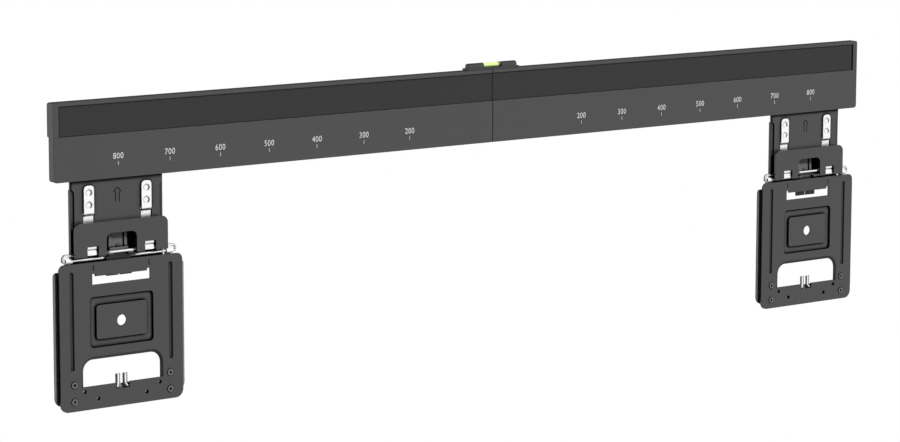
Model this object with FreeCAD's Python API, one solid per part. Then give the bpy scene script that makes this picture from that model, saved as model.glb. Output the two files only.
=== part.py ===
import FreeCAD, Part
import math
import os
from FreeCAD import Vector

# Fixed wall bracket for a flat television: a two-piece wall rail with a printed scale and a level,
# and two hangers, each with a wire link that carries a stamped plate for one television bolt.
# All sizes are in mm. Shapes are drawn from the rail's front bottom edge, with X along the rail,
# Y into the wall and Z up, and are moved to the row's frame when they are written.

# Rail, one folded sheet per half
rail_half_length = 462.8
rail_height = 65.5
apron_drop = 0.85
rail_depth = 9.5
rail_sheet = 1.0
rail_end_depth = 7.3
rail_edge_radius = 2.3
rail_corner_radius = 3.0
end_step_radius = 1.4
seam_gap = 0.7
band_top_margin = 3.9
band_height = 24.8
band_bottom = rail_height - band_top_margin - band_height
band_recess = 1.5
band_end_margin = 5.5
lip_front = 4.8
lip_height = 9.2
slot_line_drop = 10.5
slot_line = rail_height - slot_line_drop
wall_slot_width = 7.0
wall_slot_length = 16.0
inner_slot_inset = 332.8
outer_slot_inset = 72.8
wall_slot_x = (rail_half_length - inner_slot_inset, rail_half_length - outer_slot_inset)
access_slot_width = 12.0
access_slot_length = 22.0

# Printed strip that covers the wall screws
strip_thickness = 0.6
strip_play = 0.15
strip_end_gap = 1.0

# Joint plate over the seam
splice_length = 84.0
splice_height = 11.0
splice_thickness = 1.5

# Level on top of the rail
level_x = 1.5
level_length = 55.0
level_width = 6.0
level_height = 6.0
level_base_length = 59.0
level_base_width = 8.8
level_base_thickness = 1.7
level_window = 20.3
vial_radius = 2.05

# Hangers
left_inset = 63.1
right_inset = 66.2
hanger_x = {"left": left_inset - rail_half_length, "right": rail_half_length - right_inset}
lift = {"left": 0.0, "right": 3.0}
sheet = 1.5
arm_face = 2.9
arm_half_width = 45.4
arm_bottom = -71.5
flange_top = -8.2
flange_back = 7.1
neck_flange_back = 5.6
neck_flange_top = 12.0
band_inset = 3.3
band_sink = 1.0
band_corner = 3.0
hook_gap = 0.2
hook_drop = 8.0
tongue_gap = 0.4
pocket_half_width = 16.2
pocket_top = -45.5
pocket_face = 6.2
arrow_top = -8.6
arrow_height = 12.6
arrow_half_width = 4.0
arrow_shaft = 1.9
arrow_line = 0.7
arrow_depth = 0.5

# Spring straps that keep the wire in
strap_inset = 17.1
strap_x = arm_half_width - strap_inset
strap_width = 9.8
strap_sheet = 1.0
strap_top = -5.5
strap_step = -29.3
strap_corner = 3.5
strap_play = 0.6
finger_back = 3.9
finger_front = -1.5
finger_top = -56.8
finger_tip = -64.2
finger_crimp = -59.3
finger_width = 9.2
crimp_depth = 0.5

# Cover plate
cover_face = -3.4
cover_overhang = 0.5
cover_half_width = arm_half_width + cover_overhang
cover_top = -36.0
cover_bottom = -64.5
cover_corner = 6.0
cover_leg_inset = 8.9
cover_leg_x = cover_half_width - cover_leg_inset
cover_leg_top = -38.5
cover_leg_bottom = -56.5
window_half_width = 14.9
window_top = -46.1
window_corner = 5.0
notch_top = -55.9
notch_width = 11.0

# Latch tongue
latch_y = 1.4
latch_half_width = 9.0
latch_step = -60.5
latch_overlap = 1.0
latch_groove_half = 6.2
latch_groove_depth = 1.2
latch_groove_wall = 1.3
latch_foot_half = 12.4
latch_bottom = -82.8
latch_slit_half = 0.9
latch_slit_top = -78.5
seat_inner = 7.4
seat_front = -2.0
seat_gap = 0.05

# Wire link
wire_radius = 1.2
wire_y = 1.4
wire_top = -62.3
wire_bottom = -67.0
wire_reach = 11.5
wire_half_span = arm_half_width + wire_reach
crank_front = -1.5
crank_front_half = 12.4
crank_back = 4.7
crank_back_half = 13.3
crank_run = 1.8
wire_sides = 8

# Hinge lugs round the lower run of the wire
eye_radius = 1.28
lug_sheet = 1.0
lug_reach = 4.2
lug_x = arm_half_width + lug_reach
lug_width = 6.4
lug_bottom = -92.0

# Front plate
face_y = -2.0
plate_overhang = 15.4
plate_half_width = arm_half_width + plate_overhang
plate_top = -69.4
plate_bottom = -193.5
plate_top_corner = 5.0
plate_corner = 7.5
slit_half_width = 28.5
slit_top = -81.3
slit_bottom = -88.3
slit_notch_width = 3.0
slit_notch_height = 2.0
lance_x = 27.5
lance_z = -74.3
lance_height = 4.5
lance_width = 0.8
moat_half_width = 31.3
moat_top = -98.6
moat_bottom = -141.6
moat_corner = 3.5
plateau_half_width = 24.9
plateau_top = -106.0
plateau_bottom = -134.8
plateau_corner = 2.5
moat_depth = 1.6
moat_wall = 1.4
bolt_z = -120.8
bolt_hole_radius = 4.6
bead_inset = 12.0
bead_x = plate_half_width - bead_inset
bead_top = -76.5
bead_bottom = -158.7
bead_mouth = 4.0
bead_floor = 1.6
bead_depth = 1.0
opening_half_width = 38.1
opening_top = -151.4
opening_bottom = -173.8
opening_corner = 9.5
opening_slope = 2.6
opening_slope_depth = 1.1
relief_radius = 1.7
relief_x = 37.2
relief_z = -177.8
pin_hole_x = 24.0
pin_hole_z = -184.8
clip_notch_half = 6.8
clip_notch_depth = 4.8

# Back plate
back_overhang = 3.4
back_half_width = plate_half_width + back_overhang
back_top = -75.6
back_bottom = -188.5
back_corner = 3.5
back_low_corner = 7.5
back_notch_half = 31.5
back_notch_bottom = -91.5
back_bolt_radius = 8.0
back_opening_margin = 3.4
back_opening_bottom = -175.2

# Fork clip
clip_sheet = 0.8
clip_half_width = 5.3
clip_gap = 3.4
clip_top = -161.0
clip_bottom = -189.0
clip_bow = -174.6
clip_foot = -178.2
clip_front = -1.6
clip_corner = 1.2

to_frame = Vector(0, -rail_depth, -slot_line)
RIGHT = Vector(1, 0, 0)
INWARD = Vector(0, 1, 0)
UP = Vector(0, 0, 1)


def corner_edges(points, radii):
    """Closed outline through the points, each corner rounded by its own radius."""
    count = len(points)
    corners = []
    for i in range(count):
        corners.append(rounded(points[i - 1], points[i], points[(i + 1) % count], radii[i]))
    edges = []
    for i in range(count):
        start, mid, end = corners[i]
        if radii[i] > 0:
            edges.append(Part.Arc(start, mid, end).toShape())
        follow = corners[(i + 1) % count][0]
        if end.distanceToPoint(follow) > 1e-6:
            edges.append(Part.makeLine(end, follow))
    return edges


def rounded(before, here, after, radius):
    """Start, middle and end of the arc that rounds one corner."""
    if radius == 0:
        return here, here, here
    back = (before - here).normalize()
    ahead = (after - here).normalize()
    half = back.getAngle(ahead) / 2
    reach = radius / math.tan(half)
    centre = here + (back + ahead).normalize() * (radius / math.sin(half))
    return here + back * reach, centre + (here - centre).normalize() * radius, here + ahead * reach


def face_of(points, radii):
    return Part.Face(Part.Wire(corner_edges(points, radii)))


def bent_sheet(path, inner_radius, thickness, place, along):
    """Sheet of even thickness along a centre line, extruded by the vector along."""
    sides = {1: [], -1: []}
    rounds = {1: [], -1: []}
    for i, (u, v) in enumerate(path):
        before = path[max(i - 1, 0)]
        after = path[min(i + 1, len(path) - 1)]
        first = (u - before[0], v - before[1])
        second = (after[0] - u, after[1] - v)
        if i == 0:
            first = second
        if i == len(path) - 1:
            second = first
        normals = []
        for du, dv in (first, second):
            size = math.hypot(du, dv)
            normals.append((-dv / size, du / size))
        dot = normals[0][0] * normals[1][0] + normals[0][1] * normals[1][1]
        turn = first[0] * second[1] - first[1] * second[0]
        for side in (1, -1):
            shift = side * thickness / 2 / (1 + dot)
            move_u = shift * (normals[0][0] + normals[1][0])
            move_v = shift * (normals[0][1] + normals[1][1])
            sides[side].append(place(u + move_u, v + move_v))
            inside = turn * side > 0
            bend = inner_radius if inside else inner_radius + thickness
            rounds[side].append(bend if abs(turn) > 1e-9 else 0)
    points = sides[1] + sides[-1][::-1]
    radii = rounds[1] + rounds[-1][::-1]
    return face_of(points, radii).extrude(along)


def in_side_view(x):
    return lambda y, z: Vector(x, y, z)


def in_top_view(z):
    return lambda x, y: Vector(x, y, z)


def box(x0, x1, y0, y1, z0, z1):
    return Part.makeBox(x1 - x0, y1 - y0, z1 - z0, Vector(x0, y0, z0))


def panel(x0, x1, z0, z1, y0, y1, low_radius, high_radius):
    """Upright plate with its lower and its upper corners rounded."""
    points = [Vector(x0, y0, z0), Vector(x1, y0, z0), Vector(x1, y0, z1), Vector(x0, y0, z1)]
    radii = [low_radius, low_radius, high_radius, high_radius]
    return face_of(points, radii).extrude(INWARD * (y1 - y0))


def rod(x, z, radius, y0, y1):
    return Part.makeCylinder(radius, y1 - y0, Vector(x, y0, z), INWARD)


def mirrored(shape):
    return shape.mirror(Vector(0, 0, 0), RIGHT)


def both(shape):
    return [shape, mirrored(shape)]


def rail_right():
    """One folded sheet: apron, recess for the strip, top, back wall and upturned lip, with its end."""
    half = rail_sheet / 2
    ledge = band_bottom - half
    band_top = band_bottom + band_height
    recess = band_recess + half
    back = rail_depth - half
    lip = lip_front + half
    shelf = band_bottom + half
    top = rail_height - half
    path = [(half, -apron_drop), (half, ledge), (recess, ledge), (recess, band_top + half)]
    path += [(half, band_top + half), (half, top), (back, top), (back, shelf)]
    path += [(lip, shelf), (lip, band_bottom + lip_height)]
    start = seam_gap / 2
    length = RIGHT * (rail_half_length - start)
    body = bent_sheet(path, 0, rail_sheet, in_side_view(start), length)
    profile = [(0, -apron_drop), (rail_end_depth, -apron_drop), (rail_end_depth, band_bottom)]
    profile += [(rail_depth, band_bottom), (rail_depth, rail_height), (0, rail_height)]
    rounds = [0, rail_corner_radius, 0, end_step_radius, rail_edge_radius, rail_sheet]
    end = upright_bar(profile, rounds, rail_half_length - rail_sheet)
    land = [(0, ledge), (recess, ledge), (recess, rail_height), (0, rail_height)]
    end = end.fuse(upright_bar(land, [0, 0, 0, rail_sheet], rail_half_length - band_end_margin))
    body = body.fuse(end).removeSplitter()
    body = body.common(end_envelope())
    for x in wall_slot_x:
        body = body.cut(obround(x, slot_line, wall_slot_length, wall_slot_width, back - half, rail_depth))
        wide = access_slot_length / 2
        high = access_slot_width / 2
        body = body.cut(box(x - wide, x + wide, 0, recess + half, slot_line - high, slot_line + high))
    return body


def upright_bar(profile, radii, start):
    """Profile in depth and height, run from the given place to the rail's end."""
    points = [Vector(start, y, z) for y, z in profile]
    return face_of(points, radii).extrude(RIGHT * (rail_half_length - start))


def end_envelope():
    """Outer block whose rounded corners trim the rail's end."""
    low = rail_corner_radius
    points = [Vector(0, 0, -apron_drop), Vector(rail_half_length, 0, -apron_drop)]
    points += [Vector(rail_half_length, 0, rail_height), Vector(0, 0, rail_height)]
    return face_of(points, [0, low, rail_edge_radius, 0]).extrude(INWARD * rail_depth)


def obround(x, z, length, width, y0, y1):
    radius = width / 2
    reach = length / 2
    return panel(x - reach, x + reach, z - radius, z + radius, y0, y1, radius * 0.999, radius * 0.999)


def strip_right():
    low = band_bottom + strip_play
    high = band_bottom + band_height - strip_play
    end = rail_half_length - band_end_margin - strip_end_gap
    return box(seam_gap / 2, end, band_recess - strip_thickness, band_recess, low, high)


def splice_plate():
    front = rail_depth - rail_sheet - splice_thickness
    middle = rail_height - rail_sheet - splice_height / 2
    return box(-splice_length / 2, splice_length / 2, front, front + splice_thickness,
               middle - splice_height / 2, middle + splice_height / 2)


def tunnel(length, width, height, x, y):
    """Half-round block standing on the rail's top."""
    radius = width / 2 * 0.999
    points = [Vector(x - length / 2, y - width / 2, rail_height), Vector(x - length / 2, y + width / 2, rail_height)]
    points += [p + UP * height for p in points[::-1]]
    return face_of(points, [0, 0, radius, radius]).extrude(RIGHT * length)


def level_parts():
    middle = rail_depth / 2
    holder = tunnel(level_length, level_width, level_height, level_x, middle)
    base = box(level_x - level_base_length / 2, level_x + level_base_length / 2,
               middle - level_base_width / 2, middle + level_base_width / 2, rail_height, rail_height + level_base_thickness)
    floor = rail_height + level_base_thickness
    bore_z = floor + vial_radius
    start = Vector(level_x - level_window / 2, middle, bore_z)
    window = box(level_x - level_window / 2, level_x + level_window / 2, 0, rail_depth,
                 floor, rail_height + level_height)
    vial = Part.makeCylinder(vial_radius, level_window, start, RIGHT)
    return holder.fuse(base).cut(window), vial


def hanger_arm():
    """Folded sheet: hook over the rail's lip, flat neck, and a channel with a pocket for the wire."""
    half = sheet / 2
    centre = arm_face + half
    lip_top = band_bottom + lip_height
    bridge = lip_top + hook_gap + half
    tongue = lip_front + rail_sheet + tongue_gap + half
    path = [(centre, flange_top), (centre, bridge), (tongue, bridge), (tongue, bridge - half - hook_drop)]
    width = RIGHT * (2 * arm_half_width)
    arm = bent_sheet(path, 0, sheet, in_side_view(-arm_half_width), width)
    side = arm_half_width - half
    folds = []
    for low, high, rear in ((arm_bottom, flange_top, flange_back), (flange_top, neck_flange_top, neck_flange_back)):
        section = [(-side, rear), (-side, centre), (side, centre), (side, rear)]
        folds.append(bent_sheet(section, 0, sheet, in_top_view(low), UP * (high - low)))
    corner = box(-arm_half_width, arm_half_width, arm_face, arm_face + sheet, flange_top, neck_flange_top)
    arm = arm.cut(corner).fuse(folds)
    inner = arm_half_width - band_inset
    for sign in (-1, 1):
        near, far = sorted((sign * (inner - sheet), sign * arm_half_width))
        arm = arm.fuse(box(near, far, arm_face + sheet, arm_face + sheet + band_sink, arm_bottom, flange_top + sheet))
        near, far = sorted((sign * inner, sign * (inner + arm_half_width)))
        arm = arm.cut(panel(near, far, arm_bottom, flange_top, arm_face, arm_face + band_sink, 0, band_corner))
    outer = pocket_half_width + sheet
    arm = arm.cut(box(-outer, outer, arm_face, flange_back, arm_bottom, pocket_top + sheet))
    pocket = box(-outer, outer, arm_face, pocket_face + sheet, arm_bottom, pocket_top + sheet)
    hollow = box(-pocket_half_width, pocket_half_width, arm_face, pocket_face, arm_bottom, pocket_top)
    arm = arm.fuse(pocket.cut(hollow)).removeSplitter()
    slot = strap_width / 2 + strap_play
    low = finger_top - sheet
    for x in (-strap_x, strap_x):
        arm = arm.cut(box(x - slot, x + slot, arm_face, arm_face + sheet, low, strap_step + half))
    return arm.cut(arrow())


def arrow():
    """Engraved upward arrow on the neck."""
    y1 = arm_face + arrow_depth
    y0 = arm_face - arrow_depth
    low = arrow_top - arrow_height
    shoulder = arrow_top - arrow_half_width
    line = box(-arrow_line / 2, arrow_line / 2, y0, y1, low, shoulder)
    marks = [line.translated(RIGHT * arrow_shaft), line.translated(RIGHT * -arrow_shaft)]
    size = arrow_half_width * math.sqrt(2)
    wing = box(0, size, y0, y1, -arrow_line, 0).rotated(Vector(0, 0, 0), INWARD, 45)
    marks += both(wing.translated(UP * arrow_top))
    return Part.makeCompound(marks)


def spring_strap():
    """Zinc strap: flat on the arm, stepped through it, then a crimped finger in front of the wire."""
    face = arm_face - strap_sheet / 2
    drop = finger_back - face
    path = [(face, strap_top), (face, strap_step)]
    path += [(finger_back, strap_step - drop), (finger_back, finger_top), (finger_front, finger_top)]
    path += [(finger_front, finger_crimp + drop), (finger_front + crimp_depth, finger_crimp)]
    path += [(finger_front, finger_crimp - drop), (finger_front, finger_tip)]
    width = RIGHT * strap_width
    strap = bent_sheet(path, 0, strap_sheet, in_side_view(-strap_width / 2), width)
    half = strap_width / 2
    front = finger_front - strap_sheet
    trim = panel(-half, half, finger_tip, strap_top, front, arm_face + sheet, 0, strap_corner)
    sides = box(finger_width / 2, half, front, finger_front + 2 * strap_sheet, finger_tip, finger_top + strap_sheet)
    return strap.common(trim).cut(both(sides))


def cover_plate():
    """Pressed cover: two legs against the arm, arched window, and a notch for each finger."""
    back = cover_face + sheet
    plate = panel(-cover_half_width, cover_half_width, cover_bottom, cover_top, cover_face, back, 0, cover_corner)
    leg = box(cover_leg_x, cover_leg_x + sheet, back, arm_face, cover_leg_bottom, cover_leg_top)
    plate = plate.fuse(both(leg))
    window = panel(-window_half_width, window_half_width, cover_bottom - 9, window_top,
                   cover_face, back, 0, window_corner)
    plate = plate.cut(window)
    for x in (-strap_x, strap_x):
        notch = notch_width / 2
        plate = plate.cut(box(x - notch, x + notch, cover_face, back, cover_bottom, notch_top))
    return plate.removeSplitter()


def latch():
    """Grooved tongue below the arm, two seats under the cranked wire, and a slit foot to the plate."""
    rear = latch_y + sheet
    seat_top = wire_top - wire_radius - seat_gap
    shoulder = seat_top - sheet
    top = pocket_top
    high = latch_half_width
    groove = latch_groove_half
    outer = groove + latch_groove_wall
    bottom = arm_face + latch_groove_depth
    tongue = box(-high, high, arm_face, arm_face + sheet, latch_step, top)
    tongue = tongue.fuse(box(-outer, outer, arm_face, bottom + sheet, latch_step, top))
    tongue = tongue.cut(box(-groove, groove, arm_face, bottom, latch_step, top))
    joint = box(-high, high, latch_y, rear, shoulder, latch_step + latch_overlap)
    foot = panel(-latch_foot_half, latch_foot_half, latch_bottom, shoulder + 0.5, latch_y, rear, 0, 0)
    solids = [joint, foot]
    half = sheet / 2
    path = [(seat_front, seat_top - half), (latch_y + half, seat_top - half), (latch_y + half, shoulder - sheet)]
    width = latch_foot_half - seat_inner
    seat = bent_sheet(path, 0.3, sheet, in_side_view(seat_inner), RIGHT * width)
    solids += both(seat)
    slit = box(-latch_slit_half, latch_slit_half, latch_y, rear, latch_bottom, latch_slit_top)
    return tongue.fuse(solids).cut(slit).removeSplitter()


def wire_link():
    """One closed wire: the upper run is cranked in front of the tongue, the lower run behind it."""
    bend = (wire_top - wire_bottom) / 2
    reach = wire_half_span - wire_radius - bend
    middle = (wire_top + wire_bottom) / 2
    edges = []
    front_run = (wire_top, crank_front, crank_front_half, 1)
    back_run = (wire_bottom, crank_back, crank_back_half, -1)
    for z, y, inner, sign in (front_run, back_run):
        outer = inner + crank_run
        run = [Vector(-reach, wire_y, z), Vector(-outer, wire_y, z), Vector(-inner, y, z)]
        run += [Vector(inner, y, z), Vector(outer, wire_y, z), Vector(reach, wire_y, z)]
        if sign < 0:
            run = run[::-1]
        for start, end in zip(run, run[1:]):
            edges.append(Part.makeLine(start, end))
        tip = Vector(sign * (reach + bend), wire_y, middle)
        low = Vector(sign * reach, wire_y, wire_bottom + wire_top - z)
        edges.append(Part.Arc(run[-1], tip, low).toShape())
    spine = Part.Wire(edges)
    start = spine.Vertexes[0].Point
    section = []
    for i in range(wire_sides + 1):
        turn = 2 * math.pi * i / wire_sides
        section.append(start + INWARD * (wire_radius * math.cos(turn)) + UP * (wire_radius * math.sin(turn)))
    return spine.makePipeShell([Part.makePolygon(section)], True, False, 1)


def hinge_lug(x):
    """Zinc strip curled round the wire, its leg flat on the back plate."""
    start = Vector(x - lug_width / 2, wire_y, wire_bottom)
    eye = Part.makeCylinder(eye_radius + lug_sheet, lug_width, start, RIGHT)
    front = wire_y + eye_radius
    leg = box(x - lug_width / 2, x + lug_width / 2, front, front + lug_sheet, lug_bottom, wire_bottom)
    bore = Part.makeCylinder(eye_radius, lug_width, start, RIGHT)
    return eye.fuse(leg).cut(bore).removeSplitter()


def front_plate():
    """Stamped plate: slit, sunk ring round a raised field, beads, sloping opening and clip notch."""
    back = face_y + sheet
    rear = back_face()
    plate = panel(-plate_half_width, plate_half_width, plate_bottom, plate_top, face_y, back,
                  plate_corner, plate_top_corner)
    moat = moat_half_width
    out = moat + moat_wall
    swell = panel(-out, out, moat_bottom - moat_wall, moat_top + moat_wall, back, rear, 0, 0)
    under = plateau_half_width - moat_wall
    low = plateau_bottom + moat_wall
    high = plateau_top - moat_wall
    swell = swell.cut(panel(-under, under, low, high, back, rear, 0, 0))
    ring = panel(-moat, moat, moat_bottom, moat_top, face_y, face_y + moat_depth, moat_corner, moat_corner)
    field = panel(-plateau_half_width, plateau_half_width, plateau_bottom, plateau_top,
                  face_y, face_y + moat_depth, plateau_corner, plateau_corner)
    swells = both(bead_swell(back))
    plate = plate.fuse([swell] + swells)
    cuts = [ring.cut(field), opening(), opening_slope_cut()]
    cuts += both(bead())
    cuts.append(rod(0, bolt_z, bolt_hole_radius, face_y, rear))
    cuts.append(box(-slit_half_width, slit_half_width, face_y, back, slit_bottom, slit_top))
    inner = slit_half_width - slit_notch_width
    ear = box(inner, slit_half_width, face_y, back, slit_top, slit_top + slit_notch_height)
    cuts += both(ear)
    cuts += both(box(lance_x - lance_width / 2, lance_x + lance_width / 2, face_y, back,
                     lance_z - lance_height / 2, lance_z + lance_height / 2))
    cuts += both(rod(relief_x, relief_z, relief_radius, face_y, back))
    cuts += both(rod(pin_hole_x, pin_hole_z, relief_radius, face_y, back))
    cuts.append(panel(-clip_notch_half, clip_notch_half, opening_bottom - clip_notch_depth, opening_bottom,
                      face_y, rear, 0, 0))
    return plate.cut(cuts).removeSplitter()


def back_face():
    """Depth of the back plate's front face: its rear lies on the hinge lugs."""
    return wire_y + eye_radius - sheet


def bead():
    """Long bead with sloping walls and cut-off corners, pressed in along a vertical line."""
    outlines = []
    middle = (bead_mouth + bead_floor) / 4
    for y, half in ((face_y, bead_mouth / 2), (face_y + bead_depth, bead_floor / 2)):
        low = bead_bottom + middle
        high = bead_top - middle
        near = half * math.tan(math.pi / 8)
        quarter = [(half, low - near), (half, high + near), (near, high + half), (-near, high + half)]
        quarter += [(-half, high + near), (-half, low - near), (-near, low - half), (near, low - half)]
        corners = [Vector(bead_x + x, y, z) for x, z in quarter]
        outlines.append(Part.makePolygon(corners + corners[:1]))
    return Part.makeLoft(outlines, True, True)


def bead_swell(back):
    """Raised strip on the plate's back behind a bead."""
    half = bead_mouth / 2
    return box(bead_x - half, bead_x + half, back, back + bead_depth, bead_bottom, bead_top)


def opening():
    return panel(-opening_half_width, opening_half_width, opening_bottom, opening_top,
                 face_y, back_face(), 0, opening_corner)


def opening_slope_cut():
    """Tapered block that leaves the opening's sides and top sloping inward."""
    outlines = []
    for y, grow in ((face_y, opening_slope), (face_y + opening_slope_depth, 0)):
        half = opening_half_width + grow
        high = opening_top + grow
        points = [Vector(-half, y, opening_bottom), Vector(half, y, opening_bottom)]
        points += [Vector(half, y, high), Vector(-half, y, high)]
        radius = opening_corner + grow
        outlines.append(Part.Wire(corner_edges(points, [0, 0, radius, radius])))
    return Part.makeLoft(outlines, True, True)


def back_plate():
    front = back_face()
    plate = panel(-back_half_width, back_half_width, back_bottom, back_top, front, front + sheet,
                  back_low_corner, back_corner)
    margin = opening_half_width + back_opening_margin
    cuts = [panel(-back_notch_half, back_notch_half, back_notch_bottom, back_top, front, front + sheet, 0, 0)]
    cuts.append(panel(-margin, margin, back_opening_bottom, opening_top + back_opening_margin,
                      front, front + sheet, 0, opening_corner))
    for x, z in ((pin_hole_x, pin_hole_z), (relief_x, relief_z)):
        cuts += both(rod(x, z, relief_radius, front, front + sheet))
    cuts.append(rod(0, bolt_z, back_bolt_radius, front, front + sheet))
    return plate.cut(cuts)


def fork_clip():
    """Spring clip behind the lower strip, its two prongs bowed forward through the notch."""
    rest = face_y + sheet + clip_sheet / 2
    path = [(rest, clip_bottom), (rest, clip_foot), (clip_front, clip_bow), (clip_front, clip_top)]
    width = RIGHT * (2 * clip_half_width)
    clip = bent_sheet(path, 0.5, clip_sheet, in_side_view(-clip_half_width), width)
    trim = panel(-clip_half_width, clip_half_width, clip_bottom, clip_top, clip_front - sheet, rest + sheet,
                 clip_corner, clip_corner)
    gap = panel(-clip_gap / 2, clip_gap / 2, clip_foot + 1, clip_top, clip_front - sheet, rest + sheet, 0, 0)
    return clip.common(trim).cut(gap)


def write(name, shape, move):
    shape.translated(move + to_frame).exportStep(os.path.join("parts", name + ".step"))


def main():
    os.makedirs("parts", exist_ok=True)
    still = Vector(0, 0, 0)
    rail = rail_right()
    strip = strip_right()
    holder, vial = level_parts()
    write("rail_right", rail, still)
    write("rail_left", mirrored(rail), still)
    write("scale_strip_right", strip, still)
    write("scale_strip_left", mirrored(strip), still)
    write("splice_plate", splice_plate(), still)
    write("level_holder", holder, still)
    write("level_vial", vial, still)
    strap = spring_strap()
    outward = {"left": RIGHT * -strap_x, "right": RIGHT * strap_x}
    fixed = {"hanger_arm": hanger_arm(), "cover_plate": cover_plate(), "latch": latch()}
    lugs = Part.makeCompound([hinge_lug(-lug_x), hinge_lug(lug_x)])
    lifted = {"wire_link": wire_link(), "hinge_lugs": lugs, "tv_plate": front_plate()}
    lifted["back_plate"] = back_plate()
    lifted["fork_clip"] = fork_clip()
    for side, x in hanger_x.items():
        write("strap_outer_" + side, strap, RIGHT * x + outward[side])
        write("strap_inner_" + side, strap, RIGHT * x - outward[side])
        for name, shape in fixed.items():
            write(name + "_" + side, shape, RIGHT * x)
        for name, shape in lifted.items():
            write(name + "_" + side, shape, RIGHT * x + UP * lift[side])


main()
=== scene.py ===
import math
import bmesh
import bpy
from mathutils import Matrix, Vector


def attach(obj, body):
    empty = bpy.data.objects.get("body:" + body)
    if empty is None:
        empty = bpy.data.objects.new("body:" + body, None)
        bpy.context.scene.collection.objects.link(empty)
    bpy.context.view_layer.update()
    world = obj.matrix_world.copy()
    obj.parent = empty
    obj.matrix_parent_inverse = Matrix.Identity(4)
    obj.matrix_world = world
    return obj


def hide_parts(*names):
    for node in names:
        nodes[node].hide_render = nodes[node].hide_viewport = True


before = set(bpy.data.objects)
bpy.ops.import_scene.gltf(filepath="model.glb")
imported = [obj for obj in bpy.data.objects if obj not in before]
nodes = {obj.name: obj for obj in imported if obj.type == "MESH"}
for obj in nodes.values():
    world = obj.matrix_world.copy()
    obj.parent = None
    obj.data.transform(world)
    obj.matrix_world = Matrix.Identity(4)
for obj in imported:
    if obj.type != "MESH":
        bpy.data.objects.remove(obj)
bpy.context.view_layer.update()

SIDES = ("left", "right")


# Wall rail: two folded steel halves that meet at a seam in the middle of its length, screwed to
# the wall through slots behind the strip. Stoved dark grey powder coat, with the fine orange
# peel that such a coat leaves.
class Signal:
    """A shader socket that adds Math nodes where it is used in an expression."""

    def __init__(self, owner, socket):
        self.owner = owner
        self.socket = socket

    def maths(self, operation, *values):
        node = self.owner.add("ShaderNodeMath", {"operation": operation}, dict(enumerate(values)))
        return Signal(self.owner, node.outputs[0])

    def __add__(self, other):
        return self.maths("ADD", self, other)

    def __mul__(self, other):
        return self.maths("MULTIPLY", self, other)

    def __sub__(self, other):
        return self.maths("SUBTRACT", self, other)

    __radd__ = __add__
    __rmul__ = __mul__


class ShaderNodes:
    """A shader node tree that nodes are added to and linked in."""

    def __init__(self, tree):
        self.tree = tree

    def add(self, kind, settings, sockets):
        """Adds one node: its settings first, then the values or links of its sockets."""
        node = self.tree.nodes.new(kind)
        for name, value in settings.items():
            if name == "stops":
                for element, (place, color) in zip(node.color_ramp.elements, value):
                    element.position = place
                    element.color = color
            else:
                setattr(node, name, value)
        self.join(node, sockets)
        return node

    def join(self, node, sockets):
        for name, value in sockets.items():
            if isinstance(value, Signal):
                self.tree.links.new(value.socket, node.inputs[name])
            else:
                node.inputs[name].default_value = value

    def first(self, kind):
        return next(node for node in self.tree.nodes if node.type == kind)

    def axis(self, place, name):
        apart = self.add("ShaderNodeSeparateXYZ", {}, {0: place})
        return Signal(self, apart.outputs[name])

    def step(self, value, low, high):
        """Smooth step of the value, from 0 where it is low to 1 where it is high."""
        node = self.add("ShaderNodeMapRange", {"interpolation_type": "SMOOTHSTEP"}, {
            "Value": value, "From Min": low, "From Max": high})
        return Signal(self, node.outputs["Result"])


class Finish(ShaderNodes):
    """A surface finish: one material, its shader and the nodes that feed it."""

    def __init__(self, name, **plain):
        self.material = bpy.data.materials.new(name)
        self.material.use_nodes = True
        super().__init__(self.material.node_tree)
        self.shader = self.first("BSDF_PRINCIPLED")
        self.join(self.shader, {k.replace("_", " "): v for k, v in plain.items()})

    def place(self, stretch=(1, 1, 1)):
        where = self.add("ShaderNodeTexCoord", {}, {})
        mapping = self.add("ShaderNodeMapping", {}, {
            "Vector": Signal(self, where.outputs["Object"]), "Scale": stretch})
        return Signal(self, mapping.outputs["Vector"])

    def noise(self, scale, detail, stretch=(1, 1, 1)):
        node = self.add("ShaderNodeTexNoise", {}, {
            "Vector": self.place(stretch), "Scale": scale, "Detail": detail})
        return Signal(self, node.outputs["Fac"])

    def blend(self, amount, first, second):
        """Mixes two colours. The Mix node's colour sockets are reached by number, as names repeat."""
        node = self.add("ShaderNodeMix", {"data_type": "RGBA"}, {0: amount, 6: first, 7: second})
        return Signal(self, node.outputs[2])

    def paint(self, color, roughness):
        self.join(self.shader, {"Base Color": color, "Roughness": roughness})

    def vary(self, pattern, dark, light, roughness):
        """Lets the colour run from dark to light with the pattern, and sets the roughness."""
        self.paint(self.blend(pattern, (*dark, 1), (*light, 1)), roughness)

    def relief(self, height, distance, edge=0.0):
        sockets = {"Height": height, "Distance": distance, "Strength": 1.0}
        if edge:
            rounding = self.add("ShaderNodeBevel", {"samples": 6}, {"Radius": edge})
            sockets["Normal"] = Signal(self, rounding.outputs["Normal"])
        node = self.add("ShaderNodeBump", {}, sockets)
        self.join(self.shader, {"Normal": Signal(self, node.outputs["Normal"])})

    def cover(self, amount, bare, over):
        """Shows the shader over where the amount is 1, and the shader bare where it is 0."""
        both = self.add("ShaderNodeMixShader", {}, {
            0: amount, 1: Signal(self, bare.outputs[0]), 2: Signal(self, over.outputs[0])})
        self.join(self.first("OUTPUT_MATERIAL"), {"Surface": Signal(self, both.outputs[0])})

    def settle_dust(self, reach, low, high, shade):
        """Paints shade into the inner corners, within the given reach: a matt dark shader shows where ambient
        occlusion finds the surface hemmed in.
        """
        corner = self.add("ShaderNodeAmbientOcclusion", {"samples": 8}, {"Distance": reach})
        unshaded = self.step(Signal(self, corner.outputs["AO"]), low, high)
        painted_shade = self.add("ShaderNodeBsdfDiffuse", {}, {"Color": (shade, shade, shade, 1), "Roughness": 0.6})
        self.cover(unshaded, painted_shade, self.shader)


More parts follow.
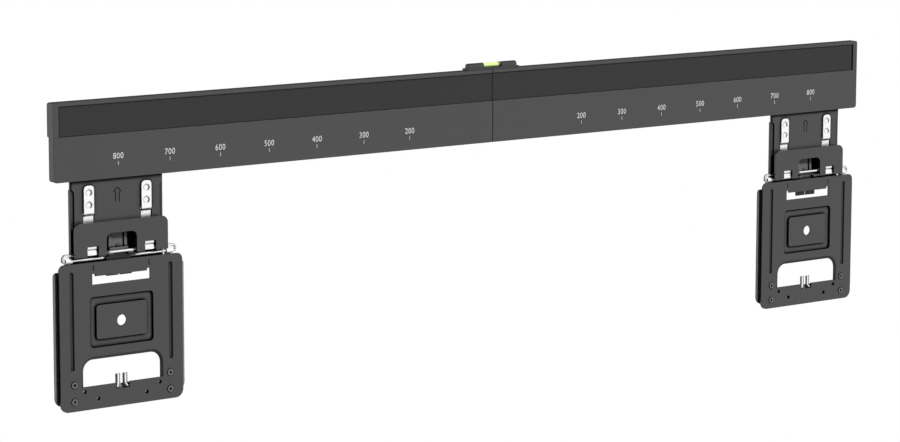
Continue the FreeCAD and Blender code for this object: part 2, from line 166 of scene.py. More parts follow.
CLOUD_DARK = (0.97, 0.97, 0.975)
CLOUD_LIGHT = (1.04, 1.04, 1.045)
# Painted shade: a coat turns near black below its height foot, and a dark shader fills its inner corners.
FOOT_SHADE_BLUR = 0.0006
FOOT_SHADE_COLOR = (0.01, 0.01, 0.01, 1)
CORNER_SHADE_SPAN = 0.22
CORNER_SHADE_LIMIT = 0.97
CORNER_SHADE_LEVEL = 0.005


def tinted(shade, tint):
    return (*(shade * part for part in tint), 1)


def powder_coat(name, shade, gloss, edge, reach, foot=None, corner_shade_from=0.68):
    """Dark grey powder coat: fine peel, a cloudy gloss and tone, painted shade below the height foot, and
    painted shade in the inner corners.
    """
    coat = Finish(name, Specular_IOR_Level=gloss)
    peel = coat.noise(scale=1500, detail=2)
    cloud = coat.noise(scale=22, detail=3)
    color = coat.blend(cloud, tinted(shade, CLOUD_DARK), tinted(shade, CLOUD_LIGHT))
    # Painted shade: below the height foot the coat's colour turns near black.
    if foot is not None:
        unshaded = coat.step(coat.axis(coat.place(), "Z"), foot - FOOT_SHADE_BLUR, foot + FOOT_SHADE_BLUR)
        color = coat.blend(unshaded, FOOT_SHADE_COLOR, color)
    coat.paint(color, roughness=0.3 + 0.06 * cloud + 0.06 * peel)
    coat.relief(peel, distance=0.00003, edge=edge)
    # Painted shade in the coat's inner corners.
    coat.settle_dust(reach, corner_shade_from, min(corner_shade_from + CORNER_SHADE_SPAN, CORNER_SHADE_LIMIT), CORNER_SHADE_LEVEL)
    return coat.material


def coat_node(name, material):
    node = nodes[name]
    if not node.data.materials:
        node.data.materials.append(material)
    for place in node.material_slots:
        place.material = material


# The rail's coat paints shade into its inner corners.
rail_coat = powder_coat("rail coat", shade=0.033, gloss=0.52, edge=0.0004, reach=0.002)
for side in SIDES:
    coat_node("rail_" + side, rail_coat)

splice_zinc = Finish("splice zinc", Metallic=1.0)
splice_cloud = splice_zinc.noise(scale=260, detail=3)
splice_zinc.vary(splice_cloud, (0.5, 0.5, 0.5), (0.66, 0.67, 0.68), roughness=0.35 + 0.2 * splice_cloud)
splice_zinc.relief(splice_cloud, distance=0.00002)
coat_node("splice_plate", splice_zinc.material)


# Printed strip: a matt dark plastic film, one to each half of the rail. It is stuck into the
# recess of the rail's face and hides the wall screws.
film = Finish("strip film", Specular_IOR_Level=0.28)
film_grain = film.noise(scale=2600, detail=1)
film_drift = film.noise(scale=9, detail=2, stretch=(0.25, 1, 1))
film.vary(film_drift, (0.029, 0.029, 0.0295), (0.032, 0.032, 0.0325), roughness=0.62 + 0.1 * film_grain)
film.relief(film_grain, distance=0.00002)
# Painted shade in the film's inner corners, at the edges of its recess.
film.settle_dust(reach=0.0014, low=0.68, high=0.88, shade=0.006)
for side in SIDES:
    coat_node("scale_strip_" + side, film.material)


# Scale on the rail's apron: white pad-printed marks and plain numbers, the spacing of the
# television's bolts in millimetres. The ink stands a few hundredths of a millimetre proud.
# A mark is given by its number, its x and its height over the rail's bottom, in millimetres.
RAIL_DEPTH = 9.5
SLOT_LINE = 55.0
FACE = -RAIL_DEPTH / 1000
INK = 0.00004
MARKS = {
    "left": ((800, -400.1, 11.4), (700, -348.8, 11.2), (600, -297.6, 10.8), (500, -246.9, 10.5),
             (400, -196.3, 10.2), (300, -145.3, 10.1), (200, -94.7, 10.0)),
    "right": ((200, 105.4, 10.0), (300, 155.1, 10.2), (400, 204.5, 10.5), (500, 253.7, 10.9),
              (600, 302.3, 11.5), (700, 351.4, 12.0), (800, 399.9, 12.3)),
}
TICK_LENGTH = 0.0033
TICK_WIDTH = 0.00045
DIGIT_HEIGHT = 0.0051
DIGIT_NARROWING = 0.92
DIGIT_SPACING = 1.08
NUMBER_GAP = 0.0021


def tree_with(name, inputs):
    """Empty Geometry Nodes tree with a geometry in and out, and the named inputs."""
    tree = bpy.data.node_groups.new(name, "GeometryNodeTree")
    tree.interface.new_socket("Geometry", in_out="INPUT", socket_type="NodeSocketGeometry")
    for label, kind in inputs.items():
        tree.interface.new_socket(label, in_out="INPUT", socket_type=kind)
    tree.interface.new_socket("Geometry", in_out="OUTPUT", socket_type="NodeSocketGeometry")
    return tree, tree.nodes.new("NodeGroupInput"), tree.nodes.new("NodeGroupOutput")


def grow(name, start, tree, values):
    """Plain mesh that the tree makes of the start data, with its inputs set by identifier."""
    seed = bpy.data.objects.new(name + "_seed", start)
    modifier = seed.modifiers.new("grow", "NODES")
    modifier.node_group = tree
    for item in tree.interface.items_tree:
        if item.in_out == "INPUT" and item.name in values:
            modifier[item.identifier] = values[item.name]
    return place_mesh(name, plain_mesh(seed))


def plain_mesh(source):
    """The mesh that a new object shows. The object itself is removed."""
    bpy.context.scene.collection.objects.link(source)
    bpy.context.view_layer.update()
    mesh = bpy.data.meshes.new_from_object(source.evaluated_get(bpy.context.evaluated_depsgraph_get()))
    bpy.data.objects.remove(source)
    return mesh


def place_mesh(name, mesh):
    mesh.name = name
    made = bpy.data.objects.new(name, mesh)
    bpy.context.scene.collection.objects.link(made)
    return made


def points_mesh(name, points):
    mesh = bpy.data.meshes.new(name)
    mesh.from_pydata(points, [], [])
    return mesh


tick_tree, tick_in, tick_out = tree_with("scale ticks", {
    "Width": "NodeSocketFloat", "Ink": "NodeSocketFloat", "Length": "NodeSocketFloat",
    "Material": "NodeSocketMaterial"})
tick_size = tick_tree.nodes.new("ShaderNodeCombineXYZ")
tick_bar = tick_tree.nodes.new("GeometryNodeMeshCube")
tick_copies = tick_tree.nodes.new("GeometryNodeInstanceOnPoints")
tick_real = tick_tree.nodes.new("GeometryNodeRealizeInstances")
tick_paint = tick_tree.nodes.new("GeometryNodeSetMaterial")
for source, target in (
        (tick_in.outputs["Width"], tick_size.inputs["X"]),
        (tick_in.outputs["Ink"], tick_size.inputs["Y"]),
        (tick_in.outputs["Length"], tick_size.inputs["Z"]),
        (tick_size.outputs["Vector"], tick_bar.inputs["Size"]),
        (tick_in.outputs["Geometry"], tick_copies.inputs["Points"]),
        (tick_bar.outputs["Mesh"], tick_copies.inputs["Instance"]),
        (tick_copies.outputs["Instances"], tick_real.inputs["Geometry"]),
        (tick_real.outputs["Geometry"], tick_paint.inputs["Geometry"]),
        (tick_in.outputs["Material"], tick_paint.inputs["Material"]),
        (tick_paint.outputs["Geometry"], tick_out.inputs["Geometry"])):
    tick_tree.links.new(source, target)

ink = Finish("scale ink", Specular_IOR_Level=0.3)
ink_wear = ink.noise(scale=4200, detail=2)
ink.vary(ink_wear, (0.5, 0.5, 0.5), (0.76, 0.76, 0.76), roughness=0.45 + 0.2 * ink_wear)
ink.relief(ink_wear, distance=0.00001)


def number_mesh(number, x, z):
    """One printed number as a thin mesh, centred on x with its foot at z."""
    curve = bpy.data.curves.new("number", "FONT")
    curve.body = str(number)
    curve.size = 1.0
    curve.extrude = 0.01
    curve.resolution_u = 3
    curve.space_character = DIGIT_SPACING
    mesh = plain_mesh(bpy.data.objects.new("number", curve))
    xs = [v.co.x for v in mesh.vertices]
    ys = [v.co.y for v in mesh.vertices]
    scale = DIGIT_HEIGHT / (max(ys) - min(ys))
    middle = (max(xs) + min(xs)) / 2
    low = min(ys)
    for v in mesh.vertices:
        across = (v.co.x - middle) * scale * DIGIT_NARROWING
        up = (v.co.y - low) * scale
        v.co = Vector((x + across, FACE - INK / 2 - math.copysign(INK / 2, v.co.z), z + up))
    return mesh


def joined(name, meshes):
    """One mesh of several, each already in place."""
    work = bmesh.new()
    for mesh in meshes:
        work.from_mesh(mesh)
    bmesh.ops.recalc_face_normals(work, faces=work.faces)
    whole = bpy.data.meshes.new(name)
    work.to_mesh(whole)
    work.free()
    return whole


for side in SIDES:
    ticks = []
    numbers = []
    for number, x, height in MARKS[side]:
        z = (height - SLOT_LINE) / 1000
        ticks.append((x / 1000, FACE - INK / 2, z))
        numbers.append(number_mesh(number, x / 1000, z + TICK_LENGTH / 2 + NUMBER_GAP))
    lines = grow("scale_ticks_" + side, points_mesh("ticks", ticks), tick_tree, {
        "Width": TICK_WIDTH, "Ink": INK, "Length": TICK_LENGTH, "Material": ink.material})
    words = place_mesh("scale_numbers_" + side, joined("numbers", numbers))
    words.data.materials.append(ink.material)
    for piece in (lines, words):
        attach(piece, "rail")


# Level: a black moulded holder clipped on the rail's top, with a clear yellow-green vial whose
# bubble has run to its right end.
RAMP_START = 0.0035
RAMP_LENGTH = 0.01
LIQUID_GREEN = (0.66, 0.87, 0.33, 1)
BUBBLE_GREEN = (0.11, 0.15, 0.06, 1)

holder_black = Finish("level black", Specular_IOR_Level=0.5)
holder_grain = holder_black.noise(scale=1800, detail=2)
holder_black.vary(holder_grain, (0.02, 0.02, 0.021), (0.032, 0.032, 0.033),
                  roughness=0.32 + 0.15 * holder_grain)
holder_black.relief(holder_grain, distance=0.00002, edge=0.0006)
coat_node("level_holder", holder_black.material)

liquid = Finish("level liquid", Specular_IOR_Level=0.2)
liquid_cloud = liquid.noise(scale=400, detail=2)
liquid_ramp = liquid.add("ShaderNodeValToRGB", {"stops": ((0.48, LIQUID_GREEN), (0.56, BUBBLE_GREEN))}, {
    "Fac": (liquid.axis(liquid.place(), "X") - RAMP_START) * (1 / RAMP_LENGTH)})
liquid.paint(Signal(liquid, liquid_ramp.outputs["Color"]), roughness=0.1 + 0.1 * liquid_cloud)
coat_node("level_vial", liquid.material)


# Hangers: folded steel arms that hook over the rail's inner lip, each with a pressed cover plate
# in the same dark coat, and a duller latch tongue with a rivet in its groove. The tongue's coat is
# painted lighter, as painted light in the shade of its recess, and near black below its foot, as painted
# shade.
HANGER_X = {"left": -0.3997, "right": 0.3966}
BOSS_OFFSET = 0.0006
BOSS_PROFILE = ((0.0, -0.55), (0.8, -0.55), (1.2, -0.9), (1.8, -0.9), (2.1, 0.05))
BOSS_DEPTH = 4.1
BOSS_HEIGHT = -58.6
BOSS_TURNS = 32
LATCH_FOOT = -0.1192

# The hanger coats paint shade into their inner corners; the arm's reaches further, as painted shade under the
# rail's lower edge.
hanger_coat = powder_coat("hanger coat", shade=0.031, gloss=0.52, edge=0.0003, reach=0.0035)
arm_coat = powder_coat("arm coat", shade=0.031, gloss=0.52, edge=0.0003, reach=0.0045, corner_shade_from=0.8)
# Painted light and shade on the latch: its coat is lighter to make up for the shade of its recess, and near
# black below LATCH_FOOT.
latch_lightened_coat = powder_coat("latch lightened coat", shade=0.1, gloss=0.3, edge=0.0003, reach=0.0022, foot=LATCH_FOOT)
for side in SIDES:
    coat_node("hanger_arm_" + side, arm_coat)
    coat_node("cover_plate_" + side, hanger_coat)
    coat_node("latch_" + side, latch_lightened_coat)


def spot(middle, x, depth, height, lift=0.0):
    """Point from mm beside the hanger's middle, behind the rail's front and above its bottom."""
    return middle + x / 1000, (depth - RAIL_DEPTH) / 1000, (height - SLOT_LINE) / 1000 + lift


def smooth_mesh(name, points, faces):
    mesh = bpy.data.meshes.new(name)
    mesh.from_pydata(points, [], faces)
    mesh.polygons.foreach_set("use_smooth", [True] * len(faces))
    return mesh


def boss_mesh(middle):
    """Round rivet in the groove of a latch tongue: a raised ring with a sunk middle."""
    points = [spot(middle, 0, BOSS_DEPTH + BOSS_PROFILE[0][1], BOSS_HEIGHT)]
    faces = [(0, 1 + (k + 1) % BOSS_TURNS, 1 + k) for k in range(BOSS_TURNS)]
    for i, (radius, out) in enumerate(BOSS_PROFILE[1:]):
        for k in range(BOSS_TURNS):
            turn = 2 * math.pi * k / BOSS_TURNS
            points.append(spot(middle, radius * math.cos(turn), BOSS_DEPTH + out,
                               BOSS_HEIGHT + radius * math.sin(turn)))
            if i:
                a = 1 + (i - 1) * BOSS_TURNS + k
                b = 1 + (i - 1) * BOSS_TURNS + (k + 1) % BOSS_TURNS
                faces.append((a, b, b + BOSS_TURNS, a + BOSS_TURNS))
    return smooth_mesh("boss", points, faces)


for side in SIDES:
    boss = place_mesh("latch_boss_" + side, boss_mesh(HANGER_X[side] + BOSS_OFFSET))
    boss.data.materials.append(latch_lightened_coat)
    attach(boss, "hanger_" + side)


# Spring straps: bright zinc spring steel, held to the arm at two round press marks, stepped
# through it and led out in front of the wire, with a groove across for it.
STRAP_X = 0.0283
STRAP_WIDTH = 10.2
FINGER_WIDTH = 9.2
STRAP_SHEET = 0.00096
STRAP_BEND = 0.9
BEND_SHARE = 0.45
BEND_POINTS = 6
STRAP_STEP = 0.45
STRAP_COLUMNS = 22
STRAP_CORNER = 3.5
STRAP_ROUTE = ((2.4, -5.5), (2.4, -29.3), (3.9, -30.8), (3.9, -55.9), (-1.5, -55.9), (-1.5, -58.2),
               (-0.6, -58.5), (-0.6, -59.3), (-1.3, -59.8), (-1.5, -63.7))
FINGER_DEPTH = 1.0
PRESS_MARKS = (-11.6, -21.9)
PRESS_RADIUS = 3.1
PRESS_DEPTH = 0.75
PRESS_SLOPE = 4.2


def strap_line():
    """Points (depth, height) in mm along the strap's centre line, with its bends rounded."""
    line = [Vector(STRAP_ROUTE[0])]
    for before, here, after in zip(STRAP_ROUTE, STRAP_ROUTE[1:], STRAP_ROUTE[2:]):
        here, before, after = Vector(here), Vector(before), Vector(after)
        reach = min(STRAP_BEND, (here - before).length * BEND_SHARE, (after - here).length * BEND_SHARE)
        start = here + (before - here).normalized() * reach
        end = here + (after - here).normalized() * reach
        for i in range(BEND_POINTS):
            t = i / (BEND_POINTS - 1)
            line.append(start * (1 - t) ** 2 + here * (2 * t * (1 - t)) + end * t ** 2)
    line.append(Vector(STRAP_ROUTE[-1]))
    fine = [line[0]]
    for a, b in zip(line, line[1:]):
        steps = max(1, round((b - a).length / STRAP_STEP))
        for i in range(1, steps + 1):
            fine.append(a.lerp(b, i / steps))
    return fine


def strap_half_width(depth, height):
    """Half the strap's width in mm, less on its finger and where its top corners are rounded."""
    if depth < FINGER_DEPTH:
        return FINGER_WIDTH / 2
    down = STRAP_ROUTE[0][1] - height
    if down >= STRAP_CORNER:
        return STRAP_WIDTH / 2
    return STRAP_WIDTH / 2 - STRAP_CORNER + math.sqrt(max(STRAP_CORNER ** 2 - (STRAP_CORNER - down) ** 2, 0))


def press_sink(x, height):
    """Depth in mm that the press marks have sunk the strap at one place."""
    away = min(math.hypot(x, height - mark) for mark in PRESS_MARKS) / PRESS_RADIUS
    return PRESS_DEPTH * max(0, min(1, (1 - away) * PRESS_SLOPE))


def grid_faces(rows, columns, first=0):
    """Faces of a grid of points that has one point more than columns in each row."""
    starts = [first + row * (columns + 1) + k for row in range(rows) for k in range(columns)]
    return [(a, a + columns + 1, a + columns + 2, a + 1) for a in starts]


def strap_mesh(middle):
    line = strap_line()
    points = []
    for i, (depth, height) in enumerate(line):
        along = (line[min(i + 1, len(line) - 1)] - line[max(i - 1, 0)]).normalized()
        half = strap_half_width(depth, height)
        for j in range(STRAP_COLUMNS + 1):
            x = half * (2 * j / STRAP_COLUMNS - 1)
            points.append(spot(middle, x, depth + press_sink(x, height) * abs(along[1]), height))
    return smooth_mesh("strap", points, grid_faces(len(line) - 1, STRAP_COLUMNS))


def thicken(piece, sheet):
    wall = piece.modifiers.new("sheet", "SOLIDIFY")
    wall.thickness = sheet
    wall.offset = 0


zinc = Finish("bright zinc", Metallic=1.0)
zinc_brush = zinc.noise(scale=2400, detail=2, stretch=(1, 1, 0.08))
zinc_cloud = zinc.noise(scale=300, detail=3)
zinc.vary(zinc_cloud, (0.88, 0.88, 0.885), (0.96, 0.96, 0.965),
          roughness=0.3 + 0.12 * zinc_brush + 0.08 * zinc_cloud)
zinc.relief(zinc_brush, distance=0.00001)
# Painted shade in the straps' press marks and where they come close to other parts.
zinc.settle_dust(reach=0.0015, low=0.4, high=0.75, shade=0.03)

for side in SIDES:
    outward = -1 if side == "left" else 1
    for name, way in (("strap_outer_", outward), ("strap_inner_", -outward)):
        strap = place_mesh("spring_" + name + side, strap_mesh(HANGER_X[side] + way * STRAP_X))
        strap.data.materials.append(zinc.material)
        thicken(strap, STRAP_SHEET)
        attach(strap, "hanger_" + side)
        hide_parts(name + side)


# Wire link: one closed ring of nickel-plated round wire with rounded corners, woven in front of
# the latch's seats and behind its foot. At rest the right one hangs higher than the left one.
LIFT = {"left": 0.0, "right": 0.003}
WIRE_RADIUS = 0.0012
WIRE_BEND = 0.0033
WIRE_TOP = -62.3
WIRE_BOTTOM = -67.0
WIRE_SIDES = 24
WIRE_BEND_STEPS = 10
WIRE_ROUTE = (
    (-55.7, 1.4, WIRE_TOP), (-14.2, 1.4, WIRE_TOP), (-12.4, -1.5, WIRE_TOP), (12.4, -1.5, WIRE_TOP),
    (14.2, 1.4, WIRE_TOP), (55.7, 1.4, WIRE_TOP), (55.7, 1.4, WIRE_BOTTOM + 0.6), (54.9, 1.4, WIRE_BOTTOM),
    (15.1, 1.4, WIRE_BOTTOM), (13.3, 4.7, WIRE_BOTTOM), (-13.3, 4.7, WIRE_BOTTOM), (-15.1, 1.4, WIRE_BOTTOM),
    (-54.9, 1.4, WIRE_BOTTOM), (-55.7, 1.4, WIRE_BOTTOM + 0.6))

wire_tree, wire_in, wire_out = tree_with("bent wire", {
    "Wire radius": "NodeSocketFloat", "Bend radius": "NodeSocketFloat", "Material": "NodeSocketMaterial"})
wire_fillet = wire_tree.nodes.new("GeometryNodeFilletCurve")
wire_fillet.mode = "POLY"
wire_fillet.inputs["Count"].default_value = WIRE_BEND_STEPS
wire_fillet.inputs["Limit Radius"].default_value = True
wire_section = wire_tree.nodes.new("GeometryNodeCurvePrimitiveCircle")
wire_section.inputs["Resolution"].default_value = WIRE_SIDES
wire_tube = wire_tree.nodes.new("GeometryNodeCurveToMesh")
wire_smooth = wire_tree.nodes.new("GeometryNodeSetShadeSmooth")
wire_real = wire_tree.nodes.new("GeometryNodeRealizeInstances")
wire_paint = wire_tree.nodes.new("GeometryNodeSetMaterial")
for source, target in (
        (wire_in.outputs["Geometry"], wire_fillet.inputs["Curve"]),
        (wire_in.outputs["Bend radius"], wire_fillet.inputs["Radius"]),
        (wire_in.outputs["Wire radius"], wire_section.inputs["Radius"]),
        (wire_fillet.outputs["Curve"], wire_tube.inputs["Curve"]),
        (wire_section.outputs["Curve"], wire_tube.inputs["Profile Curve"]),
        (wire_tube.outputs["Mesh"], wire_smooth.inputs["Geometry"]),
        (wire_smooth.outputs["Geometry"], wire_real.inputs["Geometry"]),
        (wire_real.outputs["Geometry"], wire_paint.inputs["Geometry"]),
        (wire_in.outputs["Material"], wire_paint.inputs["Material"]),
        (wire_paint.outputs["Geometry"], wire_out.inputs["Geometry"])):
    wire_tree.links.new(source, target)

nickel = Finish("nickel wire", Metallic=1.0)
nickel_haze = nickel.noise(scale=900, detail=2)
nickel.vary(nickel_haze, (0.82, 0.82, 0.83), (0.94, 0.94, 0.95), roughness=0.28 + 0.14 * nickel_haze)
nickel.relief(nickel_haze, distance=0.00001)
# Painted shade where the wire comes close to other parts.
nickel.settle_dust(reach=0.0012, low=0.25, high=0.5, shade=0.03)

for side in SIDES:
    route = bpy.data.curves.new("wire route", "CURVE")
    route.dimensions = "3D"
    spline = route.splines.new("POLY")
    spline.points.add(len(WIRE_ROUTE) - 1)
    for point, place in zip(spline.points, WIRE_ROUTE):
        point.co = (*spot(HANGER_X[side], *place, LIFT[side]), 1)
    spline.use_cyclic_u = True
    wire = grow("wire_ring_" + side, route, wire_tree, {
        "Wire radius": WIRE_RADIUS, "Bend radius": WIRE_BEND, "Material": nickel.material})
    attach(wire, "link_" + side)
    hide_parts("wire_link_" + side)


# Stamped plates of coated steel: the front one takes the television's bolt and has a sunk ring,
# beads and an opening that slopes with its bent edge; the flat one lies behind it. Bright curled
# lugs hang both from the wire.
# Both plate coats paint shade into their inner corners; the front plate's reaches deeper into its sunk ring
# and beads.
plate_coat = powder_coat("plate coat", shade=0.031, gloss=0.52, edge=0.0003, reach=0.0036, corner_shade_from=0.75)
# The back plate's coat is painted far lighter than the others, as painted light on its strip that lies in the
# front plate's shade.
back_plate_lightened_coat = powder_coat("back plate lightened coat", shade=0.18, gloss=0.52, edge=0.0003, reach=0.0009)
lug_zinc = Finish("lug zinc", Metallic=0.35)
lug_haze = lug_zinc.noise(scale=900, detail=2)
lug_zinc.vary(lug_haze, (0.93, 0.93, 0.93), (0.99, 0.99, 0.99), roughness=0.4 + 0.15 * lug_haze)
lug_zinc.relief(lug_haze, distance=0.00001)
for side in SIDES:
    coat_node("tv_plate_" + side, plate_coat)
    coat_node("back_plate_" + side, back_plate_lightened_coat)
    coat_node("hinge_lugs_" + side, lug_zinc.material)


# Plate screws: small cross-recess heads in dark zinc, four to a front plate, near its lower
# corners. Each head is a low cone that a shallow dish and two crossed bars are cut out of.
SCREW_X = 47.5
SCREW_Z = (-170.8, -185.1)
FACE_DEPTH = -2.0
HEAD_RADIUS = 0.0028
HEAD_HEIGHT = 0.0007
HEAD_SIDES = 28
RIM_SHARE = 0.9
DISH_FLOOR_SHARE = 0.3
DISH_RAISE = 0.0005
RECESS_LENGTH = 0.0034
RECESS_WIDTH = 0.0016
RECESS_SHARE = 1.9

screw_tree, screw_in, screw_out = tree_with("plate screws", {
    "Head radius": "NodeSocketFloat", "Head height": "NodeSocketFloat", "Recess length": "NodeSocketFloat",
    "Recess width": "NodeSocketFloat", "Material": "NodeSocketMaterial"})


def screw_share(name, share):
    """Socket with the given share of one of the screw tree's inputs."""
    node = screw_tree.nodes.new("ShaderNodeMath")
    node.operation = "MULTIPLY"
    node.inputs[1].default_value = share
    screw_tree.links.new(screw_in.outputs[name], node.inputs[0])
    return node.outputs[0]


def screw_bar(length, width, height):
    """Bar of the recess, half sunk in the top of the head."""
    size = screw_tree.nodes.new("ShaderNodeCombineXYZ")
    bar = screw_tree.nodes.new("GeometryNodeMeshCube")
    shift = screw_tree.nodes.new("ShaderNodeCombineXYZ")
    move = screw_tree.nodes.new("GeometryNodeTransform")
    for source, target in (
            (screw_in.outputs[length], size.inputs["X"]),
            (screw_in.outputs[width], size.inputs["Y"]),
            (height, size.inputs["Z"]),
            (screw_in.outputs["Head height"], shift.inputs["Z"]),
            (size.outputs["Vector"], bar.inputs["Size"]),
            (bar.outputs["Mesh"], move.inputs["Geometry"]),
            (shift.outputs["Vector"], move.inputs["Translation"])):
        screw_tree.links.new(source, target)
    return move.outputs["Geometry"]


screw_rim = screw_share("Head radius", RIM_SHARE)
screw_deep = screw_share("Head height", RECESS_SHARE)
screw_head = screw_tree.nodes.new("GeometryNodeMeshCone")
screw_head.inputs["Vertices"].default_value = HEAD_SIDES
screw_dish = screw_tree.nodes.new("GeometryNodeMeshCone")
screw_dish.inputs["Vertices"].default_value = HEAD_SIDES
screw_raise = screw_tree.nodes.new("GeometryNodeTransform")
screw_raise.inputs["Translation"].default_value = (0, 0, DISH_RAISE)
screw_cut = screw_tree.nodes.new("GeometryNodeMeshBoolean")
screw_cut.operation = "DIFFERENCE"
screw_cut.solver = "EXACT"
screw_turn = screw_tree.nodes.new("GeometryNodeTransform")
screw_turn.inputs["Rotation"].default_value = (math.pi / 2, 0, 0)
screw_copies = screw_tree.nodes.new("GeometryNodeInstanceOnPoints")
screw_real = screw_tree.nodes.new("GeometryNodeRealizeInstances")
screw_paint = screw_tree.nodes.new("GeometryNodeSetMaterial")
for source, target in (
        (screw_in.outputs["Head radius"], screw_head.inputs["Radius Bottom"]),
        (screw_rim, screw_head.inputs["Radius Top"]),
        (screw_in.outputs["Head height"], screw_head.inputs["Depth"]),
        (screw_share("Head radius", DISH_FLOOR_SHARE), screw_dish.inputs["Radius Bottom"]),
        (screw_rim, screw_dish.inputs["Radius Top"]),
        (screw_in.outputs["Head height"], screw_dish.inputs["Depth"]),
        (screw_dish.outputs["Mesh"], screw_raise.inputs["Geometry"]),
        (screw_raise.outputs["Geometry"], screw_cut.inputs["Mesh 2"]),
        (screw_head.outputs["Mesh"], screw_cut.inputs["Mesh 1"]),
        (screw_bar("Recess length", "Recess width", screw_deep), screw_cut.inputs["Mesh 2"]),
        (screw_bar("Recess width", "Recess length", screw_deep), screw_cut.inputs["Mesh 2"]),
        (screw_cut.outputs["Mesh"], screw_turn.inputs["Geometry"]),
        (screw_in.outputs["Geometry"], screw_copies.inputs["Points"]),
        (screw_turn.outputs["Geometry"], screw_copies.inputs["Instance"]),
        (screw_copies.outputs["Instances"], screw_real.inputs["Geometry"]),
        (screw_real.outputs["Geometry"], screw_paint.inputs["Geometry"]),
        (screw_in.outputs["Material"], screw_paint.inputs["Material"]),
        (screw_paint.outputs["Geometry"], screw_out.inputs["Geometry"])):
    screw_tree.links.new(source, target)

screw_zinc = Finish("screw zinc", Metallic=1.0)
screw_wear = screw_zinc.noise(scale=1600, detail=2)
screw_zinc.vary(screw_wear, (0.22, 0.22, 0.22), (0.32, 0.32, 0.32), roughness=0.35 + 0.2 * screw_wear)
screw_zinc.relief(screw_wear, distance=0.00002)
# Painted shade in the heads' dish and cross recess, and where they meet the plate.
screw_zinc.settle_dust(reach=0.002, low=0.86, high=0.99, shade=0.004)

for side in SIDES:
    spots = [spot(HANGER_X[side], x, FACE_DEPTH, z, LIFT[side]) for z in SCREW_Z for x in (-SCREW_X, SCREW_X)]
    screws = grow("plate_screws_" + side, points_mesh("screws", spots), screw_tree, {
        "Head radius": HEAD_RADIUS, "Head height": HEAD_HEIGHT, "Recess length": RECESS_LENGTH,
        "Recess width": RECESS_WIDTH, "Material": screw_zinc.material})
    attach(screws, "plate_" + side)


# Fork clip: bright spring steel, held behind the plate's lower strip. Its two prongs are bowed
# across and flare apart where they pass through the notch. Each row gives a height, a prong's
# inner and outer edge, and its depth.
CLIP_ROWS = ((-166.2, 1.5, 5.6, -0.3), (-166.8, 1.2, 5.9, -0.3), (-169.0, 1.2, 5.9, -0.3),
             (-172.5, 1.2, 5.9, -0.3), (-174.6, 1.3, 6.0, -0.4), (-175.7, 1.8, 6.3, -0.8),
             (-176.7, 2.6, 6.7, -1.3), (-177.6, 3.5, 6.8, -1.7))
CLIP_COLUMNS = 8
CLIP_TOP = -178.6
CLIP_BOTTOM = -189.0
CLIP_HALF = 5.3
CLIP_DEPTH = 0.25
CLIP_BOW = 0.9
CLIP_SHEET = 0.0006


def clip_mesh(middle, lift):
    """Two bowed prongs, each a grid of points, over a flat foot that stays behind the plate."""
    points = []
    faces = []
    for way in (-1, 1):
        faces += grid_faces(len(CLIP_ROWS) - 1, CLIP_COLUMNS, first=len(points))
        for z, inner, outer, depth in CLIP_ROWS:
            near, far = sorted((way * inner, way * outer))
            for k in range(CLIP_COLUMNS + 1):
                bow = CLIP_BOW * (2 * k / CLIP_COLUMNS - 1) ** 2
                points.append(spot(middle, near + (far - near) * k / CLIP_COLUMNS, depth + bow, z, lift))
    base = len(points)
    faces.append((base, base + 1, base + 2, base + 3))
    for way, z in ((-1, CLIP_TOP), (-1, CLIP_BOTTOM), (1, CLIP_BOTTOM), (1, CLIP_TOP)):
        points.append(spot(middle, way * CLIP_HALF, CLIP_DEPTH, z, lift))
    return smooth_mesh("clip", points, faces)


spring_steel = Finish("spring steel", Metallic=1.0)
spring_haze = spring_steel.noise(scale=1100, detail=2)
spring_steel.vary(spring_haze, (0.66, 0.66, 0.67), (0.8, 0.8, 0.81), roughness=0.14 + 0.1 * spring_haze)
spring_steel.relief(spring_haze, distance=0.00001)
# Painted shade where the clip's prongs come close to the plate and its notch.
spring_steel.settle_dust(reach=0.002, low=0.4, high=0.7, shade=0.02)
for side in SIDES:
    clip = place_mesh("clip_prongs_" + side, clip_mesh(HANGER_X[side], LIFT[side]))
    clip.data.materials.append(spring_steel.material)
    thicken(clip, CLIP_SHEET)
    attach(clip, "plate_" + side)
    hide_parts("fork_clip_" + side)


# Stage: a white floor well below the part, one broad key light high on the right, and dim
# surroundings with one bright panel at the front right and one behind on the left, for the
# metal to mirror.
FLOOR_HEIGHT = -2.5
FLOOR_REACH = 2.0
FLOOR_GLOW_SHARE = 0.85
DIFFUSE_LEVEL = 0.35
MIRROR_LEVEL = 1.45
DIM_LEVEL = 0.06
KEY_STRENGTH = 4.75
KEY_WIDTH = math.radians(12)
KEY_DIRECTION = (0.5, -0.66, 0.56)

stage_white = Finish("stage white", Specular_IOR_Level=0.1)
stage_white.paint((0.5, 0.5, 0.5, 1), roughness=0.9)
stage_glow = stage_white.add("ShaderNodeEmission", {}, {"Color": (1, 1, 1, 1), "Strength": 1.0})
stage_rays = stage_white.add("ShaderNodeLightPath", {}, {})
stage_seen = Signal(stage_white, stage_rays.outputs["Is Camera Ray"])
stage_white.cover(stage_seen * FLOOR_GLOW_SHARE, stage_white.shader, stage_glow)
floor_corners = [(x * FLOOR_REACH, y * FLOOR_REACH, FLOOR_HEIGHT)
                 for x, y in ((-1, -1), (1, -1), (1, 1), (-1, 1))]
floor_mesh = bpy.data.meshes.new("floor")
floor_mesh.from_pydata(floor_corners, [], [(0, 1, 2, 3)])
floor = place_mesh("floor", floor_mesh)
floor.data.materials.append(stage_white.material)

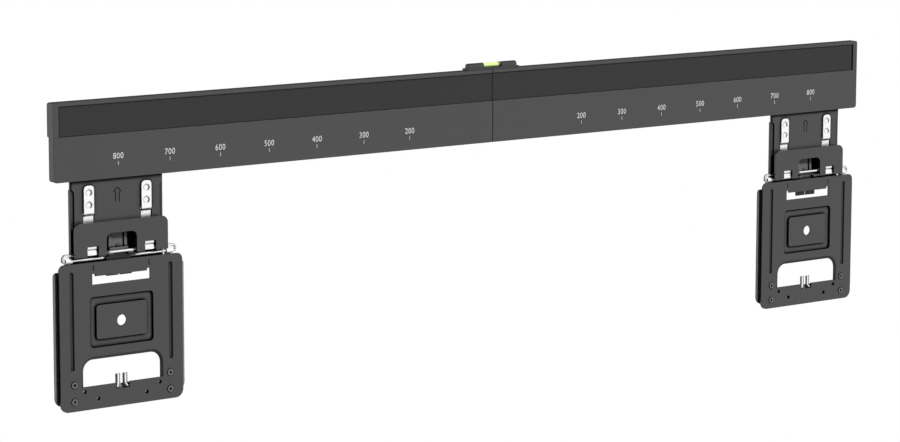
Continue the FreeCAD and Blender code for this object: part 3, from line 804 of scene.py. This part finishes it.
world = bpy.data.worlds.new("studio")
world.use_nodes = True
bpy.context.scene.world = world
sky = ShaderNodes(world.node_tree)
sky_rays = sky.add("ShaderNodeLightPath", {}, {})
mirrored = Signal(sky, sky_rays.outputs["Is Glossy Ray"])
seen = Signal(sky, sky_rays.outputs["Is Camera Ray"])
sky_spot = Signal(sky, sky.add("ShaderNodeTexCoord", {}, {}).outputs["Generated"])
sky_x, sky_y, sky_z = (sky.axis(sky_spot, name) for name in "XYZ")
front_right = sky.step(sky_x, 0.1, 0.35) * sky.step(sky_x, 1.35, 0.45) * sky.step(sky_y, 0.0, -0.3)
back_left = sky.step(sky_x, 0.1, -0.25) * sky.step(sky_y, 0.2, 0.5)
tall = sky.step(sky_z, -0.75, -0.3) * sky.step(sky_z, 0.98, 0.8)
panels = front_right.maths("MAXIMUM", front_right, back_left) * tall
level = sky.add("ShaderNodeMapRange", {}, {
    "Value": mirrored, "To Min": DIFFUSE_LEVEL, "To Max": MIRROR_LEVEL})
glow = panels.maths("MAXIMUM", panels, DIM_LEVEL) * Signal(sky, level.outputs["Result"])
sky.join(sky.first("BACKGROUND"), {"Color": (1, 1, 1, 1), "Strength": glow.maths("MAXIMUM", glow, seen)})

key = bpy.data.lights.new("key", "SUN")
key.energy = KEY_STRENGTH
key.angle = KEY_WIDTH
key_light = bpy.data.objects.new("key", key)
bpy.context.scene.collection.objects.link(key_light)
key_light.visible_glossy = False
key_light.matrix_world = Vector(KEY_DIRECTION).to_track_quat("Z", "Y").to_matrix().to_4x4()


# Camera: on the photograph's view, in front of the part's left end and a little above it.
# Its place, turns and focal length were fitted to the scale's marks, the rail and the plates.
YAW, PITCH, ROLL = math.radians(38.2243), math.radians(8.3956), math.radians(0.1297)
CAMERA_PLACE = (-1.877464, -2.331086, 0.312388)
FOCAL_PIXELS, PICTURE_WIDTH = 3320.0, 900.0
SENSOR_WIDTH = 36.0
ahead_level = Vector((math.sin(YAW), math.cos(YAW), 0))
level_right = Vector((math.cos(YAW), -math.sin(YAW), 0))
upright = Vector((0, 0, 1))
ahead = ahead_level * math.cos(PITCH) - upright * math.sin(PITCH)
above = upright * math.cos(PITCH) + ahead_level * math.sin(PITCH)
right = level_right * math.cos(ROLL) + above * math.sin(ROLL)
top = above * math.cos(ROLL) - level_right * math.sin(ROLL)
camera_data = bpy.data.cameras.new("camera")
camera_data.sensor_width = SENSOR_WIDTH
camera_data.lens = FOCAL_PIXELS / PICTURE_WIDTH * SENSOR_WIDTH
camera_data.clip_end = 200
camera = bpy.data.objects.new("camera", camera_data)
turn = Matrix((right, top, -ahead)).transposed().to_4x4()
camera.matrix_world = Matrix.Translation(CAMERA_PLACE) @ turn
bpy.context.scene.collection.objects.link(camera)
bpy.context.scene.camera = camera
bpy.context.scene.view_settings.view_transform = "Standard"
